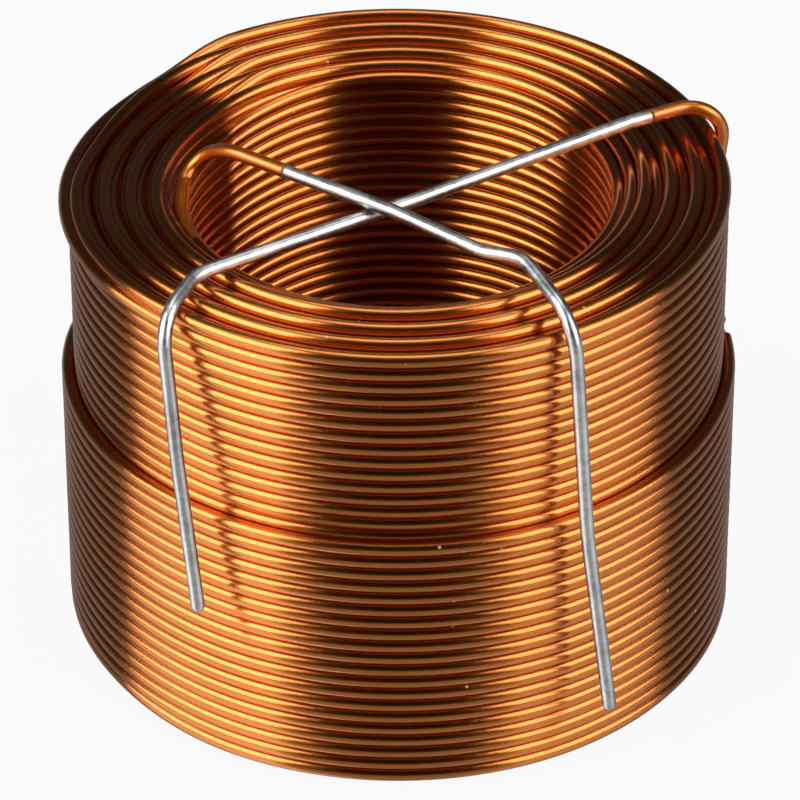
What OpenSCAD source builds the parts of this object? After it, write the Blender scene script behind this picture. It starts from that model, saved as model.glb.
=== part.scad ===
// Air core inductor: one enamelled, self-bonding copper wire wound without a
// former into a free-standing coil. Both ends are bent over the top, cross
// above the bore and hang down in front of the coil, stripped and tinned.
// +Z is the coil's axis, the origin is the middle of its base, -Y is its front.

/* [Wire] */
// Diameter over the enamel and the bonding coat
wire_d = 0.99; // [0.98:0.005:0.995]
// Diameter of the stripped and tinned ends
tinned_d = 0.97; // [0.9:0.01:0.98]
// How far the coat is squeezed flat where it met the winding tool
land_depth = 0.03; // [0.02:0.01:0.05]

/* [Winding] */
// Bore, which is the diameter of the mandrel it was wound on
bore_d = 29.25; // [28.5:0.25:31]
// Height from one turn to the next
turn_pitch = 1; // [1:0.01:1.02]
// Radial step from one layer to the next
layer_pitch = 0.885; // [0.88:0.005:0.9]
// Full layers, an odd number
layers = 9; // [7:2:9]
// Turns in each odd layer above the first; the even layers nest with one fewer
rows = 35; // [33:1:38]
// Turns in the part layer on the outside, from the base up
outer_rows = 20; // [10:1:24]
// How far past the wires' centres the bonding coat fills the grooves
coat_fill = 0.16; // [0.12:0.01:0.22]

/* [Leads] */
// Clear height of the crossing leads over the top of the coil
lead_rise = 1.3; // [1.3:0.05:1.8]
// Length of enamelled wire after the start lead's second bend
start_enamel = 4.9; // [3:0.1:6]
// Length of enamelled wire after the finish lead's third bend
finish_enamel = 2.6; // [2:0.1:3.5]

/* [Hidden] */
$fn = 48;

wire_r = wire_d / 2;
first_z = wire_r - land_depth;              // lowest turn's centre, flat at z = 0
first_r = bore_d / 2 + wire_r - land_depth; // innermost layer's centre
outer_step = layer_pitch - 0.015;           // the part layer sits a little deeper
coil_h = first_z + (rows - 1) * turn_pitch + wire_r;
outer_r = first_r + (layers - 1) * layer_pitch + outer_step + wire_r;

function layer_r(n) = first_r + (n - 1) * layer_pitch;
function nested(n) = n % 2 == 0;            // even layers lie half a turn higher
function bottom_z(n) = first_z + (nested(n) ? turn_pitch / 2 : 0);
function turns_in(n) = n == 1 || nested(n) ? rows - 1 : rows;
function top_z(n) = bottom_z(n) + (turns_in(n) - 1) * turn_pitch;
step_z = bottom_z(2) + (outer_rows - 1) * turn_pitch; // top turn of the part layer

let_in = 0.05;
bend_swell = 0.004;

// Lead routes by their corners, with the bend radius at each. X and Y are on a
// coil of 23.535 mm outer radius, Z is from the top of the coil.
reach = outer_r / 23.535;
start_route = place([
    [-15.59, -1.33, -2], [-13.82, 2.67, 0], [-11.65, -0.04, 1.95],
    [-0.21, -8.47, lead_rise + 1], [5.52, -13.25, 2.25], [8.22, -14.69, 2.7],
    [11.47, -20.97, 1.72], [12.57, -22.17, -14.44], [14.31, -22.75, -28.13]]);
start_bends = [0, 1.8, 4, 14, 3, 3, 3.5, 60, 0];
finish_route = place([
    [22.28, 6.6, -coil_h + step_z + 0.1], [22.28, 6.6, -2.92], [22.73, 6.68, 1],
    [19.78, 6.63, 1.3], [15.9, 4.52, 1.35], [0.87, -5.59, lead_rise],
    [-13.4, -13.71, 0.75], [-15.55, -18.57, 0.4], [-14.66, -20.67, -9.53],
    [-13.45, -22.73, -19.85]]);
finish_bends = [0, 10, 2.2, 2.5, 3, 20, 3.5, 3, 40, 0];

function place(route) = [for (p = route) [p.x * reach, p.y * reach, p.z + coil_h]];
function unit(v) = v / norm(v);
function turn_at(p, i) = acos(unit(p[i] - p[i - 1]) * unit(p[i + 1] - p[i]));
function cut_back(p, r, i) =
    i == 0 || i == len(p) - 1 ? 0 : r[i] * tan(turn_at(p, i) / 2);
function leaves(p, r, i) = p[i] + unit(p[i + 1] - p[i]) * cut_back(p, r, i);
function meets(p, r, i) = p[i] - unit(p[i] - p[i - 1]) * cut_back(p, r, i);
function along(p, i, far) = p[i] + unit(p[i + 1] - p[i]) * far;

// One turn, its wire's centre at radius r and height z
module turn(r, z) {
    rotate_extrude($fn = 120) translate([r, z]) circle(r = wire_r, $fn = 32);
}

// The bonded block behind the turns that show
module block() {
    rotate_extrude($fn = 120) polygon(concat(
        [[layer_r(1) - coat_fill, bottom_z(1)], [layer_r(1) - coat_fill, top_z(1)]],
        [for (n = [2 : layers - 1]) [layer_r(n), top_z(n) + 0.1]],
        [[layer_r(layers) + coat_fill, top_z(layers)],
         [layer_r(layers) + coat_fill, step_z + turn_pitch * 0.45],
         [layer_r(layers) + outer_step + coat_fill, step_z],
         [layer_r(layers) + outer_step + coat_fill, bottom_z(2)]],
        [for (n = [layers : -1 : 2]) [layer_r(n), bottom_z(n) - 0.1]]));
}

// All turns as one solid: the block and the turns on its four faces
module turns() {
    difference() {
        union() {
            block();
            for (k = [0 : turns_in(1) - 1]) turn(layer_r(1), bottom_z(1) + k * turn_pitch);
            for (z = [step_z + turn_pitch / 2 : turn_pitch : top_z(layers) + 0.01])
                turn(layer_r(layers), z);
            for (k = [0 : outer_rows - 1])
                turn(layer_r(layers) + outer_step, bottom_z(2) + k * turn_pitch);
            for (n = [2 : layers - 1]) turn(layer_r(n), top_z(n));
            for (n = [2 : layers]) turn(layer_r(n), bottom_z(n));
        }
        translate([0, 0, -1]) cylinder(h = coil_h + 2, d = bore_d);        // mandrel
        translate([0, 0, -1]) cylinder(h = 1, r = outer_r + 1);            // cheek of the tool
    }
}

// Straight wire from a to b, let into the bend at either end
module rod(a, b, d, a_in = let_in, b_in = let_in) {
    v = b - a;
    translate(a - unit(v) * a_in) rotate([0, acos(v.z / norm(v)), atan2(v.y, v.x)])
        cylinder(h = norm(v) + a_in + b_in, d = d);
}

// Bend at corner i of a route, a hair fuller than the straights that run into it
module bend(p, r, i, d) {
    ahead = unit(p[i] - p[i - 1]);
    after = unit(p[i + 1] - p[i]);
    out = -unit(after - (after * ahead) * ahead);
    c = meets(p, r, i) - out * r[i];
    up = cross(out, ahead);
    multmatrix([[out.x, ahead.x, up.x, c.x],
                [out.y, ahead.y, up.y, c.y],
                [out.z, ahead.z, up.z, c.z],
                [0, 0, 0, 1]])
        rotate_extrude(angle = turn_at(p, i), $fn = 96) translate([r[i], 0]) circle(d = d + bend_swell);
}

// Bends and straights of a route from corner i to corner j
module run(p, r, i, j, d) {
    for (k = [i : j]) bend(p, r, k, d);
    if (j > i) for (k = [i : j - 1]) rod(leaves(p, r, k), meets(p, r, k + 1), d);
}

// Tinned end from the end of the enamel, after corner i, to its rounded tip
module tinned_end(p, r, i, far) {
    last = len(p) - 1;
    rod(along(p, i, far), meets(p, r, i + 1), tinned_d, a_in = 0);
    run(p, r, i + 1, last - 1, tinned_d);
    rod(leaves(p, r, last - 1), p[last], tinned_d);
    translate(p[last]) sphere(d = tinned_d);
}

// The wound wire, with the enamelled stretch of each lead
module winding() {
    color("#b4651f") union() {
        turns();
        rod(start_route[0], meets(start_route, start_bends, 1), wire_d);
        run(start_route, start_bends, 1, 2, wire_d);
        rod(leaves(start_route, start_bends, 2), along(start_route, 2, start_enamel),
            wire_d, b_in = 0);
        translate(finish_route[0]) sphere(d = wire_d);
        rod(finish_route[0], meets(finish_route, finish_bends, 1), wire_d);
        run(finish_route, finish_bends, 1, 3, wire_d);
        rod(leaves(finish_route, finish_bends, 3), along(finish_route, 3, finish_enamel),
            wire_d, b_in = 0);
    }
}

module start_lead() {
    color("#c9ccd0") tinned_end(start_route, start_bends, 2, start_enamel);
}

module finish_lead() {
    color("#c9ccd0") tinned_end(finish_route, finish_bends, 3, finish_enamel);
}

winding();
start_lead();
finish_lead();
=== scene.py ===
import math
import bmesh
import bpy
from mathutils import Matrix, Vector


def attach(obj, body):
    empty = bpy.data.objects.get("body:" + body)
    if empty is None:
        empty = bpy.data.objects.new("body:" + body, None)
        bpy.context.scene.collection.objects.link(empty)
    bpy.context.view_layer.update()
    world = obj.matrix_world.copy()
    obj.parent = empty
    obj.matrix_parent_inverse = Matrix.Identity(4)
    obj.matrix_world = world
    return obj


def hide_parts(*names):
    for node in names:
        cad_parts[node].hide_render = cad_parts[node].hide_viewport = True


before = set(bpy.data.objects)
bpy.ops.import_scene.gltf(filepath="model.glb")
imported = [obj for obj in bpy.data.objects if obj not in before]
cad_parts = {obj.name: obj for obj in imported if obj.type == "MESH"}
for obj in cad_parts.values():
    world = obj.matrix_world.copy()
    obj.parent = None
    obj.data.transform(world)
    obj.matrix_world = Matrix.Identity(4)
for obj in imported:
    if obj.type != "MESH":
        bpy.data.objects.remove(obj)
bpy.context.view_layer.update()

scene = bpy.context.scene
mm = 0.001  # every table below is in millimetres and degrees


def ease(t):
    t = min(max(t, 0.0), 1.0)
    return t * t * (3 - 2 * t)


def between(table, x):  # smooth curve through rows of (x, value, value, ...)
    if x <= table[0][0]:
        return table[0][1:]
    if x >= table[-1][0]:
        return table[-1][1:]
    i = max(k for k in range(len(table) - 1) if table[k][0] <= x)
    a, b = table[i], table[i + 1]
    span = b[0] - a[0]
    t = (x - a[0]) / span
    values = []
    for k in range(1, len(a)):
        before = table[i - 1] if i > 0 else a
        after = table[i + 2] if i + 2 < len(table) else b
        slopeA = (b[k] - before[k]) / (b[0] - before[0]) if i > 0 else 0
        slopeB = (after[k] - a[k]) / (after[0] - a[0]) if i + 2 < len(table) else 0
        values.append((2 * t**3 - 3 * t**2 + 1) * a[k] + (t**3 - 2 * t**2 + t) * span * slopeA
                      + (3 * t**2 - 2 * t**3) * b[k] + (t**3 - t**2) * span * slopeB)
    return values


def polar(azimuth, radius, height):
    a = math.radians(azimuth)
    return Vector((radius * math.cos(a), radius * math.sin(a), height))


def rounded(corners, radii, step=6):  # the corners of a lead, each bent round its radius
    path = [Vector(corners[0])]
    for i in range(1, len(corners) - 1):
        here = Vector(corners[i])
        back = (Vector(corners[i - 1]) - here).normalized()
        on = (Vector(corners[i + 1]) - here).normalized()
        turn = math.pi - back.angle(on)
        start = here + back * radii[i] * math.tan(turn / 2)
        centre = here + (back + on).normalized() * radii[i] / math.cos(turn / 2)
        spoke = start - centre
        axis = spoke.cross(-back).normalized()
        count = max(3, int(math.degrees(turn) / step))
        for k in range(count + 1):
            a = turn * k / count
            path.append(centre + spoke * math.cos(a) + axis.cross(spoke) * math.sin(a))
    return path + [Vector(corners[-1])]


def evenly(path, gap):  # points at even steps along a path
    points = [path[0]]
    left = gap
    for a, b in zip(path, path[1:]):
        length = (b - a).length
        done = 0
        while length - done >= left:
            done += left
            points.append(a.lerp(b, done / length))
            left = gap
        left -= length - done
    if (path[-1] - points[-1]).length > gap * 0.3:
        points.append(path[-1])
    return points


def wireMesh(name, paths, radius, sides, swell=None):  # one round wire along each path
    curve = bpy.data.curves.new(name + "Path", "CURVE")
    curve.dimensions = "3D"
    curve.bevel_depth = radius * mm
    curve.bevel_resolution = (sides - 4) // 2
    curve.use_fill_caps = True
    for path in paths:
        spline = curve.splines.new("POLY")
        spline.points.add(len(path) - 1)
        for k, (point, place) in enumerate(zip(spline.points, path)):
            point.co = (*(place * mm), 1)
            point.radius = swell(k, len(path)) if swell else 1
        spline.use_smooth = True
    source = bpy.data.objects.new(name + "Path", curve)
    scene.collection.objects.link(source)
    graph = bpy.context.evaluated_depsgraph_get()
    mesh = bpy.data.meshes.new_from_object(source.evaluated_get(graph))
    mesh.name = name
    bpy.data.objects.remove(source)
    bpy.data.curves.remove(curve)
    return mesh


def pressFlat(mesh):  # the winding tool squeezes the coat flat at the base and in the bore
    shape = bmesh.new()
    shape.from_mesh(mesh)
    for vert in shape.verts:
        reach = math.hypot(vert.co.x, vert.co.y)
        if reach < tool["mandrel"] * mm:
            vert.co.x *= tool["mandrel"] * mm / reach
            vert.co.y *= tool["mandrel"] * mm / reach
        vert.co.z = max(vert.co.z, 0)
    shape.to_mesh(mesh)
    shape.free()


def addPiece(name, mesh, material, node):
    piece = bpy.data.objects.new(name, mesh)
    scene.collection.objects.link(piece)
    mesh.materials.clear()
    mesh.materials.append(material)
    mesh.polygons.foreach_set("use_smooth", [True] * len(mesh.polygons))
    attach(piece, "root")
    if node:
        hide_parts(node)
    print("made", name, len(mesh.polygons), "faces")


class Reading:  # one socket; sums on it add Math nodes
    def __init__(self, tree, socket):
        self.tree = tree
        self.socket = socket

    def math(self, operation, *values):
        node = self.tree.nodes.new("ShaderNodeMath")
        node.operation = operation
        for slot, value in zip(node.inputs, values):
            if isinstance(value, Reading):
                self.tree.links.new(value.socket, slot)
            else:
                slot.default_value = value
        return Reading(self.tree, node.outputs[0])

    def output(self, index):  # another output of the same node
        return Reading(self.tree, self.socket.node.outputs[index])

    def __add__(self, other):
        return self.math("ADD", self, other)

    def __radd__(self, other):
        return self.math("ADD", other, self)

    def __sub__(self, other):
        return self.math("SUBTRACT", self, other)

    def __rsub__(self, other):
        return self.math("SUBTRACT", other, self)

    def __mul__(self, other):
        return self.math("MULTIPLY", self, other)

    def __rmul__(self, other):
        return self.math("MULTIPLY", other, self)

    def __truediv__(self, other):
        return self.math("DIVIDE", self, other)

    def __pow__(self, other):
        return self.math("POWER", self, other)


class Recipe:  # a material or world under construction
    def __init__(self, owner):
        self.owner = owner
        owner.use_nodes = True
        self.tree = owner.node_tree
        self.tree.nodes.clear()

    def node(self, kind, settings=None, values=None, out=0):
        node = self.tree.nodes.new("ShaderNode" + kind)
        for key, value in (settings or {}).items():
            if key == "stops":
                ramp = node.color_ramp
                while len(ramp.elements) < len(value):
                    ramp.elements.new(0.5)
                for stop, (place, colour) in zip(ramp.elements, value):
                    stop.position = place
                    stop.color = (*colour, 1)
            else:
                setattr(node, key, value)
        for key, value in (values or {}).items():
            if isinstance(value, Reading):
                self.tree.links.new(value.socket, node.inputs[key])
            else:
                node.inputs[key].default_value = value
        return Reading(self.tree, node.outputs[out]) if node.outputs else node

    def mix(self, amount, low, high):  # two colours
        return self.node("Mix", {"data_type": "RGBA"}, {0: amount, 6: low, 7: high}, 2)

    def band(self, value, low, high):  # 0 below low, 1 above high, smooth between
        return self.node("MapRange", {"interpolation_type": "SMOOTHSTEP"},
                         {0: value, 1: low, 2: high, 3: 0.0, 4: 1.0})


enamel = {
    "copper": (0.66, 0.191, 0.012, 1),
    "amber": (0.56, 0.145, 0.005, 1),
    "dust": (0.55, 0.48, 0.42, 1),
    "roughness": 0.25,
    "acrossWire": 0.90,      # the coat is rougher across the wire than along it
    "leadRoughness": 0.40,
    "coatRoughness": 0.14,
    "coatIor": 1.52,
    "drawnScale": 1700,      # drawing marks round the coil, much finer than they are long
    "mottleScale": 900.0,
    "patchScale": 120.0,
    "dustScale": 520.0,
    "dustSize": (0.08, 0.04),
    "dustPatches": (0.57, 0.62),
}


def enamelledCopper(name, roughness, acrossWire):
    recipe = Recipe(bpy.data.materials.new(name))
    place = recipe.node("TexCoord", None, None, 3)
    x = recipe.node("SeparateXYZ", None, {0: place})
    y = x.output(1)
    z = x.output(2)
    reach = (x * x + y * y) ** 0.5
    fine = enamel["drawnScale"]
    along = recipe.node("CombineXYZ", None, {0: x / reach * 4.0, 1: y / reach * 4.0, 2: z * fine})
    drawn = recipe.node("TexNoise", {"noise_dimensions": "4D"},
                        {"Vector": along, "W": reach * fine, "Scale": 1.0, "Detail": 3.0})
    mottle = recipe.node("TexNoise", None,
                         {"Vector": place, "Scale": enamel["mottleScale"], "Detail": 3.0})
    patch = recipe.node("TexNoise", None,
                        {"Vector": place, "Scale": enamel["patchScale"], "Detail": 2.0})
    tone = (drawn - 0.5) * 0.25 + (patch - 0.5) * 0.8 + (mottle - 0.5) * 0.25 + 0.5
    colour = recipe.mix(tone, enamel["amber"], enamel["copper"])
    speck = recipe.node("TexVoronoi", {"feature": "F1"},
                        {"Vector": place, "Scale": enamel["dustScale"]})
    keep = recipe.node("TexNoise", None, {"Vector": place, "Scale": 60.0, "Detail": 1.0})
    dust = recipe.band(speck, *enamel["dustSize"]) * recipe.band(keep, *enamel["dustPatches"])
    colour = recipe.mix(dust * 0.7, colour, enamel["dust"])
    rough = roughness + (mottle - 0.5) * 0.05 + (drawn - 0.5) * 0.03 + dust * 0.3
    height = drawn * 0.4 + mottle * 0.6
    bump = recipe.node("Bump", None, {"Strength": 0.03, "Distance": 0.00004, "Height": height})
    shader = recipe.node("BsdfPrincipled", None, {
        "Base Color": colour, "Metallic": 1.0 - dust, "Roughness": rough, "Coat Weight": 1.0,
        "Coat Roughness": enamel["coatRoughness"], "Coat IOR": enamel["coatIor"], "Normal": bump,
        "Anisotropic": acrossWire, "Anisotropic Rotation": 0.25})
    recipe.node("OutputMaterial", None, {"Surface": shader})
    return recipe.owner


tin = {"bright": (0.72, 0.72, 0.71, 1), "dull": (0.46, 0.46, 0.47, 1), "roughness": 0.34}


def tinnedCopper():
    recipe = Recipe(bpy.data.materials.new("tinnedCopper"))
    place = recipe.node("TexCoord", None, None, 3)
    grain = recipe.node("TexNoise", None, {"Vector": place, "Scale": 2600.0, "Detail": 4.0})
    flow = recipe.node("TexNoise", None, {"Vector": place, "Scale": 420.0, "Detail": 3.0})
    colour = recipe.mix(recipe.band(flow * 0.6 + grain * 0.4, 0.35, 0.62), tin["dull"], tin["bright"])
    rough = tin["roughness"] + (grain - 0.5) * 0.25 + (flow - 0.5) * 0.2
    bump = recipe.node("Bump", None, {"Strength": 0.25, "Distance": 0.00006,
                                      "Height": grain * 0.5 + flow})
    shader = recipe.node("BsdfPrincipled", None, {
        "Base Color": colour, "Metallic": 1.0, "Roughness": rough, "Normal": bump})
    recipe.node("OutputMaterial", None, {"Surface": shader})
    return recipe.owner


def burntEdge():
    recipe = Recipe(bpy.data.materials.new("burntEdge"))
    place = recipe.node("TexCoord", None, None, 3)
    char = recipe.node("TexNoise", None, {"Vector": place, "Scale": 2200.0, "Detail": 3.0})
    colour = recipe.mix(char, (0.05, 0.02, 0.012, 1), (0.30, 0.12, 0.05, 1))
    shader = recipe.node("BsdfPrincipled", None, {
        "Base Color": colour, "Metallic": 0.3, "Roughness": 0.55})
    recipe.node("OutputMaterial", None, {"Surface": shader})
    return recipe.owner


def bareCopper():
    recipe = Recipe(bpy.data.materials.new("bareCopper"))
    place = recipe.node("TexCoord", None, None, 3)
    wash = recipe.node("TexNoise", None, {"Vector": place, "Scale": 1500.0, "Detail": 3.0})
    colour = recipe.mix(wash, (0.75, 0.42, 0.32, 1), (0.86, 0.62, 0.52, 1))
    shader = recipe.node("BsdfPrincipled", None, {
        "Base Color": colour, "Metallic": 1.0, "Roughness": 0.3})
    recipe.node("OutputMaterial", None, {"Surface": shader})
    return recipe.owner


enamelFinish = enamelledCopper("enamelledCopper", enamel["roughness"], enamel["acrossWire"])
leadEnamelFinish = enamelledCopper("enamelledLead", enamel["leadRoughness"], 0.0)
tinFinish = tinnedCopper()
burntFinish = burntEdge()
copperFinish = bareCopper()
print("materials ready")

tool = {"mandrel": 14.625}
winding = {
    "wireRadius": 0.495,
    "firstRadius": 15.09,
    "layerStep": 0.885,
    "stepLayer": 23.04,      # the part layer sits a little deeper
    "topOdd": 34.465,
    "topEven": 33.965,
    "bottomOdd": 0.465,
    "bottomEven": 0.965,
    "nest": 0.5,             # an even layer lies half a turn higher than an odd one
    "boreTop": 33.465,       # top of the innermost layer
    "boreRows": 34,
    "boreDrop": (95, 152),   # where the innermost layer's turns step down
    "boreStart": 196,        # where the innermost layer leaves the start lead
    "topRows": 3,            # turns of each layer that are made at the top
    "outerRows": 15,         # turns of the ninth layer that show over the part layer
    "stepRows": 20,
    "stepClimb": (146, 184),
    "stepEnd": 368,          # where the part layer runs on into the finish lead
    "stepRoot": (150, 210),  # where its lowest turn leaves the base, tucked in until then
    "stepTuck": 0.12,
    "stepLift": 0.34,        # that turn stands proud between these two stretches
    "liftOn": (150, 190),
    "liftOff": (205, 240),
    "drop": (122, 140),      # where an odd layer's turns step down
    "climb": (150, 205),     # where an even layer's turns step up
    "turnOut": (112, 140),   # where the lowest turn of a layer moves out to the next layer
    "outBy": 0.99,
    "lastOutBy": 0.75,
    "seam": 143,             # azimuth at which rows are counted on
    "degrees": 2.5,
    "sides": 14,
}

# how far a strand stands off its nominal place: azimuth, outwards, upwards
lean = {
    "top9": [(143, -0.08, 0.30), (155, -0.20, 0.32), (168, -0.10, 0.02), (180, 0.12, 0.04),
             (197, 0.12, 0), (215, 0.08, 0), (240, 0, 0), (300, 0, 0), (360, 0.10, 0),
             (440, 0.05, -0.06), (482, 0, 0), (503, 0, 0)],
    "second9": [(143, 0.02, 0), (155, 0.12, 0.16), (168, 0.32, 0.38), (180, 0.58, 0.46),
                (197, 0.70, 0.46), (212, 0.56, 0.32), (226, 0.20, 0.08), (238, 0.02, 0),
                (503, 0, 0)],
    "top": [(143, 0, 0), (165, 0.04, 0.06), (190, 0, 0.03), (215, 0, 0), (270, 0, 0.05),
            (503, 0, 0)],
    "second": [(143, 0.02, 0), (160, 0.10, 0), (180, 0.14, 0), (200, 0.08, 0), (225, 0, 0),
               (503, 0, 0)],
    "even": [(143, 0, 0), (160, 0.08, 0), (178, 0.16, 0), (200, 0.12, 0), (230, 0, 0),
             (503, 0, 0)],
    "even8": [(143, 0, 0), (160, 0.12, 0), (178, 0.26, 0), (200, 0.22, 0), (232, 0, 0),
              (476, 0, 0), (490, -0.03, 0.20), (503, -0.08, 0.30)],
}


def layerRadius(layer):
    return winding["firstRadius"] + winding["layerStep"] * (layer - 1)


def eased(azimuth, stretch):  # 0 before a stretch of azimuth, 1 past it
    return ease((azimuth - stretch[0]) / (stretch[1] - stretch[0]))


def oddRow(layer, row, azimuth):  # row 0 is the layer's first, topmost turn
    radius = layerRadius(layer)
    height = winding["topOdd"] - row - eased(azimuth - 360, winding["drop"])
    out, up = 0, 0
    if row == 0:
        rise = eased(azimuth, winding["climb"])
        radius -= winding["layerStep"] * (1 - rise)
        height -= winding["nest"] * (1 - rise)
        out, up = between(lean["top9" if layer == 9 else "top"], azimuth)
    elif row == 1:
        out, up = between(lean["second9" if layer == 9 else "second"], azimuth)
    return polar(azimuth, radius + out, height + up)


def evenRow(layer, row, azimuth):  # row 0 is the layer's last, topmost turn
    height = winding["topEven"] - row - 1 + eased(azimuth, winding["climb"])
    out, up = 0, 0
    if row == 0:
        out, up = between(lean["even8" if layer == 8 else "even"], azimuth)
    return polar(azimuth, layerRadius(layer) + out, height + up)


def turnAngles(first=None, last=None):  # one turn, or the part of it from first or to last
    seam = winding["seam"]
    first = seam if first is None else first
    last = seam + 360 if last is None else last
    count = max(1, round((last - first) / winding["degrees"]))
    return [first + (last - first) * k / count for k in range(count)]


def topPair(even, oddRows):  # the end of an even layer runs on into the next odd layer
    path = []
    for row in reversed(range(winding["topRows"])):
        path += [evenRow(even, row, a) for a in turnAngles()]
    for row in range(oddRows):
        path += [oddRow(even + 1, row, a) for a in turnAngles()]
    return path


def boreLayer():  # the innermost layer, top turn first
    path = []
    for row in range(winding["boreRows"]):
        for a in turnAngles(winding["boreStart"] if row == 0 else None):
            height = winding["boreTop"] - row - eased(a - 360, winding["boreDrop"])
            path.append(polar(a, winding["firstRadius"], max(height, winding["bottomOdd"])))
    return path


def stepLayer():  # the part layer on the outside, from the base up
    path = []
    rows = winding["stepRows"]
    for row in range(rows):
        for a in turnAngles(None, winding["stepEnd"] if row == rows - 1 else None):
            height = winding["bottomEven"] + row - 1 + eased(a, winding["stepClimb"])
            radius = winding["stepLayer"]
            if row == 0:
                rise = eased(a, winding["stepRoot"])
                lift = eased(a, winding["liftOn"]) * (1 - eased(a, winding["liftOff"]))
                height = winding["bottomOdd"] + winding["nest"] * rise + winding["stepLift"] * lift
                radius -= winding["stepTuck"] * (1 - rise)
            path.append(polar(a, radius, height))
    return path


def basePair(odd):  # the last turn of an odd layer moves out and starts the next even layer
    path = []
    base = winding["bottomOdd"]
    outBy = winding["outBy"] if odd < 9 else winding["lastOutBy"]
    for a in turnAngles():
        out = outBy * eased(a - 360, winding["turnOut"])
        path.append(polar(a, layerRadius(odd) + out, base))
    for a in turnAngles():
        rise = eased(a, winding["climb"])
        out = winding["outBy"] - (winding["outBy"] - winding["layerStep"]) * rise
        path.append(polar(a, layerRadius(odd) + out, base + winding["nest"] * rise))
    return path


oneTurn = len(turnAngles())
wound = {
    "outer_layer": [topPair(8, winding["outerRows"])],
    "step_layer": [stepLayer()],
    "bore_layer": [boreLayer()],
    "top_turns": [topPair(even, winding["topRows"]) for even in (2, 4, 6)],
    "base_turns": [basePair(odd) for odd in (1, 3, 5, 7)] + [basePair(9)[:oneTurn + 1]],
}
for name, paths in wound.items():
    mesh = wireMesh(name, paths, winding["wireRadius"], winding["sides"])
    pressFlat(mesh)
    addPiece(name, mesh, enamelFinish, "winding")

# bonded mass behind the turns that show
filling = {"bore": 15.35, "foot": 1.2, "head": 32.9, "wall": 21.93, "wallFoot": 20.3,
           "step": 22.73, "stepHead": 19.4}
mass = bmesh.new()
corners = [(filling["bore"], filling["foot"]), (filling["step"], filling["foot"]),
           (filling["step"], filling["stepHead"]), (filling["wall"], filling["wallFoot"]),
           (filling["wall"], filling["head"]), (filling["bore"], filling["head"])]
ring = [mass.verts.new((r * mm, 0, z * mm)) for r, z in corners]
for a, b in zip(ring, ring[1:] + ring[:1]):
    mass.edges.new((a, b))
bmesh.ops.spin(mass, geom=mass.verts[:] + mass.edges[:], axis=(0, 0, 1), cent=(0, 0, 0),
               angle=math.tau, steps=96, use_merge=True)
bmesh.ops.recalc_face_normals(mass, faces=mass.faces[:])
massMesh = bpy.data.meshes.new("bonded_mass")
mass.to_mesh(massMesh)
mass.free()
addPiece("bonded_mass", massMesh, enamelFinish, "winding")

leads = {
    "tinRadius": 0.485,
    "sides": 16,
    "gap": 0.25,             # between points along a lead
    "startCorners": [(-15.59, -1.33, 32.96), (-13.82, 2.67, 34.96), (-11.65, -0.04, 36.91),
                     (-0.21, -8.47, 37.26), (5.52, -13.25, 37.21), (8.22, -14.69, 37.66),
                     (11.47, -20.97, 36.68), (12.57, -22.17, 20.52), (14.31, -22.75, 6.83)],
    "startBends": [0, 1.8, 4, 14, 3, 3, 3.5, 60, 0],
    "startEnamel": 4.9,      # enamel left after the third corner
    "startBare": 0.25,       # from the end of the enamel to the solder
    # the wire from the innermost layer (azimuth, radius, height) and where it meets the route
    "startRoot": [(215, 15.09, 33.465), (205, 15.09, 33.47), (197, 15.09, 33.5),
                  (190, 15.02, 33.6), (184, 14.86, 33.8)],
    "startJoin": (-14.72, 0.63, 33.94),
    "finishCorners": [(22.815, 3.206, 19.965), (22.34, 6.6, 19.965), (22.28, 6.6, 32.04),
                      (22.73, 6.68, 35.96), (19.78, 6.63, 36.26), (15.9, 4.52, 36.31),
                      (0.87, -5.59, 36.26), (-13.4, -13.71, 35.71), (-15.55, -18.57, 35.36),
                      (-14.66, -20.67, 25.43), (-13.45, -22.73, 15.11)],
    "finishBends": [0, 2.2, 10, 2.2, 2.5, 3, 20, 3.5, 3, 40, 0],
    "finishEnamel": 2.6,     # enamel left after the fifth corner
    "finishBare": 0.9,
    "leastBare": 0.3,        # less bare copper than this is hidden by the burnt edge
    "burntLap": 0.02,
    "burntLength": 0.22,
}


def lengthAt(path, place):  # distance along a path to the point nearest a place
    best, found, run = 1e9, 0, 0
    for a, b in zip(path, path[1:]):
        along = min(max((place - a).dot(b - a) / max((b - a).length_squared, 1e-9), 0), 1)
        near = a.lerp(b, along)
        if (near - place).length < best:
            best = (near - place).length
            found = run + (near - a).length
        run += (b - a).length
    return found


def cutPath(path, start, end):  # the stretch of a path between two distances
    points, run = [], 0
    for a, b in zip(path, path[1:]):
        length = (b - a).length
        for mark in (start, end):
            if run < mark < run + length:
                points.append(a.lerp(b, (mark - run) / length))
        run += length
        if start < run < end:
            points.append(b)
    return points


def total(path):
    return sum((b - a).length for a, b in zip(path, path[1:]))


def tipped(path, radius):  # extra points that round the free end off
    last = path[-1]
    ahead = (path[-1] - path[-2]).normalized()
    angles = [math.radians(a) for a in (0, 15, 30, 45, 60, 72, 82, 88)]
    body = [p for p in path if (p - last).length > 0.02]
    return body + [last + ahead * radius * math.sin(a) for a in angles], [math.cos(a) for a in angles]


def afterCorner(corners, index, far):  # place on the straight that follows a corner
    here = Vector(corners[index])
    return here + (Vector(corners[index + 1]) - here).normalized() * far


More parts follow.
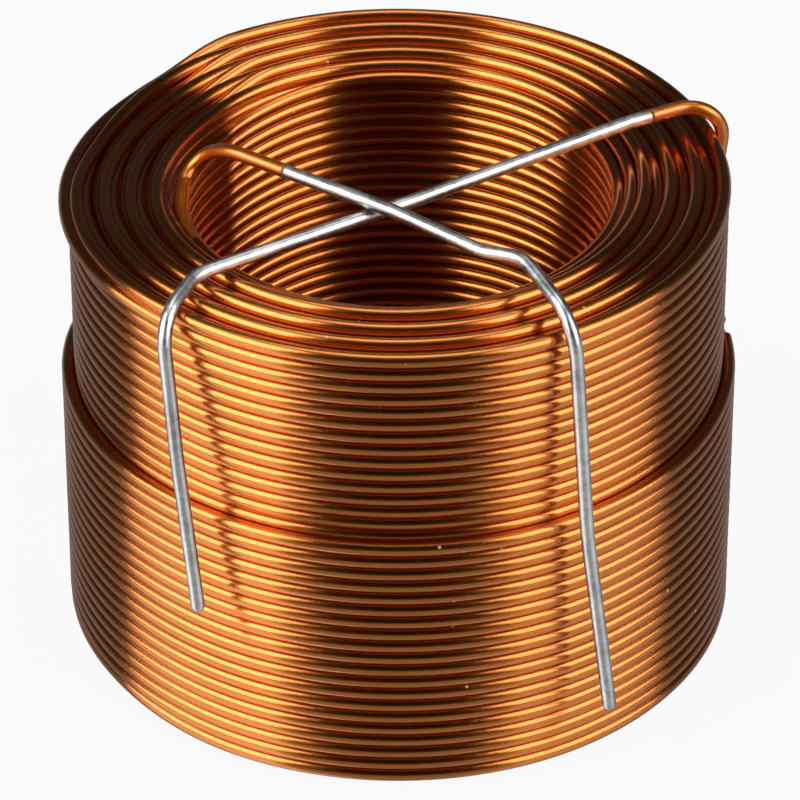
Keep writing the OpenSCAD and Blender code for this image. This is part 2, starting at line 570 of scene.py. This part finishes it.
def buildLead(name, path, cut, bare, node):  # the enamel ends at cut, the solder begins bare later
    enamelled = evenly(cutPath(path, 0, cut), leads["gap"])
    mesh = wireMesh(name + "_enamel", [enamelled], winding["wireRadius"], leads["sides"],
                    lambda k, n: 0.985 if k == n - 1 else 1)
    addPiece(name + "_enamel", mesh, leadEnamelFinish, "winding")
    burnt = evenly(cutPath(path, cut - leads["burntLap"], cut + leads["burntLength"]), 0.06)
    mesh = wireMesh(name + "_burnt_edge", [burnt], winding["wireRadius"], leads["sides"],
                    lambda k, n: 1.004 - 0.02 * k / n)
    addPiece(name + "_burnt_edge", mesh, burntFinish, None)
    if bare > leads["leastBare"]:
        stripped = evenly(cutPath(path, cut + leads["burntLength"] - 0.04, cut + bare), 0.1)
        mesh = wireMesh(name + "_bare_copper", [stripped], leads["tinRadius"] - 0.004, leads["sides"])
        addPiece(name + "_bare_copper", mesh, copperFinish, None)
    dipped = evenly(cutPath(path, cut + bare - 0.05, total(path) + 1), leads["gap"])
    tinned, rounding = tipped(dipped, leads["tinRadius"])
    mesh = wireMesh(name + "_tinned", [tinned], leads["tinRadius"], leads["sides"],
                    lambda k, n: rounding[k - n] if n - k <= len(rounding) else 1)
    addPiece(name + "_tinned", mesh, tinFinish, node)


startRoute = rounded(leads["startCorners"], leads["startBends"])
startJoin = lengthAt(startRoute, Vector(leads["startJoin"]))
startPath = [polar(*place) for place in leads["startRoot"]]
startPath += cutPath(startRoute, startJoin, total(startRoute) + 1)
startCut = lengthAt(startPath, afterCorner(leads["startCorners"], 2, leads["startEnamel"]))
startPath.append(Vector(leads["startCorners"][-1]))
buildLead("start_lead", startPath, startCut, leads["startBare"], "start_lead")

finishPath = rounded(leads["finishCorners"], leads["finishBends"])
finishCut = lengthAt(finishPath, afterCorner(leads["finishCorners"], 4, leads["finishEnamel"]))
buildLead("finish_lead", finishPath, finishCut, leads["finishBare"], "finish_lead")
print("leads ready")

view = {"target": (0.103, 0, 16.167), "distance": 381.33, "elevation": 34.521, "lens": 243.86}
cameraData = bpy.data.cameras.new("camera")
cameraData.lens = view["lens"]
cameraData.clip_start = 0.01
cameraData.clip_end = 20
camera = bpy.data.objects.new("camera", cameraData)
scene.collection.objects.link(camera)
tilt = math.radians(view["elevation"])
camera.location = (Vector(view["target"])
                   + Vector((0, -math.cos(tilt), math.sin(tilt))) * view["distance"]) * mm
camera.rotation_euler = (math.radians(90 - view["elevation"]), 0, 0)
scene.camera = camera

studio = {
    "floorTone": (0.40, 0.40, 0.40, 1),
    "floorGlow": 0.93,       # share of plain white in the floor as the camera sees it
    "boxDistance": 0.6,
    # azimuth, height of the middle, width, height, power
    "boxes": {"left": (203.5, 0.64, 0.65, 0.96, 8.9), "right": (334, 0.64, 0.62, 0.96, 6.6)},
    "pool": 0.25,            # painted glow of the floor as metal mirrors it
    # pools of light painted on it, seen only in reflections: share of east, share of north, edges of
    # the band, strength
    "pools": [(0, 1, 0.4, 0.9, 0.14), (0.917, 0.399, 0.855, 0.905, 1.10),
              (-0.914, 0.407, 0.86, 0.91, 0.50)],
    "boreShadeEdge": (0.015, 0.025),       # painted shade: the floor inside the bore stays dark in reflections
    "room": 0.006,           # the dark room in front
    "backdrop": 0.045,
    "backdropSides": (-0.3, 0.5),
    "backdropTop": (0.85, 0.45),
    "ceiling": 2.4,          # soft light from above and a little behind
    "ceilingFront": (3.8, 4.1),
    "ceilingSides": (0.20, 0.05),
}

floorShape = bmesh.new()
bmesh.ops.create_circle(floorShape, cap_ends=True, segments=96, radius=6)
floorMesh = bpy.data.meshes.new("floor")
floorShape.to_mesh(floorMesh)
floorShape.free()
floor = bpy.data.objects.new("floor", floorMesh)
scene.collection.objects.link(floor)
paper = Recipe(bpy.data.materials.new("paleFloor"))
seen = paper.node("LightPath")
glossy = seen.output(3)
floorEast = paper.node("SeparateXYZ", None, {0: paper.node("NewGeometry")})
floorNorth = floorEast.output(1)
away = (floorEast * floorEast + floorNorth * floorNorth) ** 0.5
rayEast = paper.node("SeparateXYZ", None, {0: paper.node("NewGeometry", None, None, 4)})
rayNorth = rayEast.output(1)
slant = (rayEast * rayEast + rayNorth * rayNorth + 0.000001) ** 0.5
matt = paper.node("BsdfDiffuse", None, {"Color": studio["floorTone"]})
lit = paper.node("Emission", None, {"Color": (1, 1, 1, 1), "Strength": 1.0})
pool = studio["pool"]
for east, north, low, high, strength in studio["pools"]:
    pool = pool + paper.band((rayEast * east + rayNorth * north) / slant, low, high) * strength
pool = pool * paper.band(away, *studio["boreShadeEdge"])
# painted glow: the floor as reflections see it, with painted pools of light and painted shade in the
# bore
paintedFloorGlow = paper.node("Emission", None, {"Color": (1, 1, 1, 1), "Strength": pool})
shown = paper.node("MixShader", None, {0: seen * studio["floorGlow"], 1: matt, 2: lit})
shown = paper.node("MixShader", None, {0: glossy, 1: shown, 2: paintedFloorGlow})
paper.node("OutputMaterial", None, {"Surface": shown})
floorMesh.materials.append(paper.owner)

for name, (azimuth, middle, width, height, power) in studio["boxes"].items():
    lampData = bpy.data.lights.new(name + "Softbox", "AREA")
    lampData.shape = "RECTANGLE"
    lampData.size = width
    lampData.size_y = height
    lampData.energy = power
    lamp = bpy.data.objects.new(name + "Softbox", lampData)
    scene.collection.objects.link(lamp)
    lamp.location = polar(azimuth, studio["boxDistance"], middle)
    lamp.rotation_euler = polar(azimuth + 180, 1, 0).to_track_quat("-Z", "Y").to_euler()

room = Recipe(bpy.data.worlds.new("studio"))
scene.world = room.owner
direct = room.node("LightPath")
eastward = room.node("SeparateXYZ", None, {0: room.node("TexCoord")})
northward = eastward.output(1)
upward = eastward.output(2)
level = (eastward * eastward + northward * northward + 0.0001) ** 0.5
behind = (room.band(northward / level, *studio["backdropSides"])
          * room.band(upward, *studio["backdropTop"]))
above = (room.band(northward + upward * 4.0, *studio["ceilingFront"])
         * room.band(eastward * eastward, *studio["ceilingSides"]))
tone = studio["room"] + behind * (studio["backdrop"] - studio["room"]) + above * studio["ceiling"]
glow = room.node("Background", None, {"Color": (1, 1, 1, 1), "Strength": tone})
white = room.node("Background", None, {"Color": (1, 1, 1, 1), "Strength": 1.0})
both = room.node("MixShader", None, {0: direct, 1: glow, 2: white})
room.node("OutputWorld", None, {"Surface": both})

scene.view_settings.view_transform = "Standard"
print("studio ready")
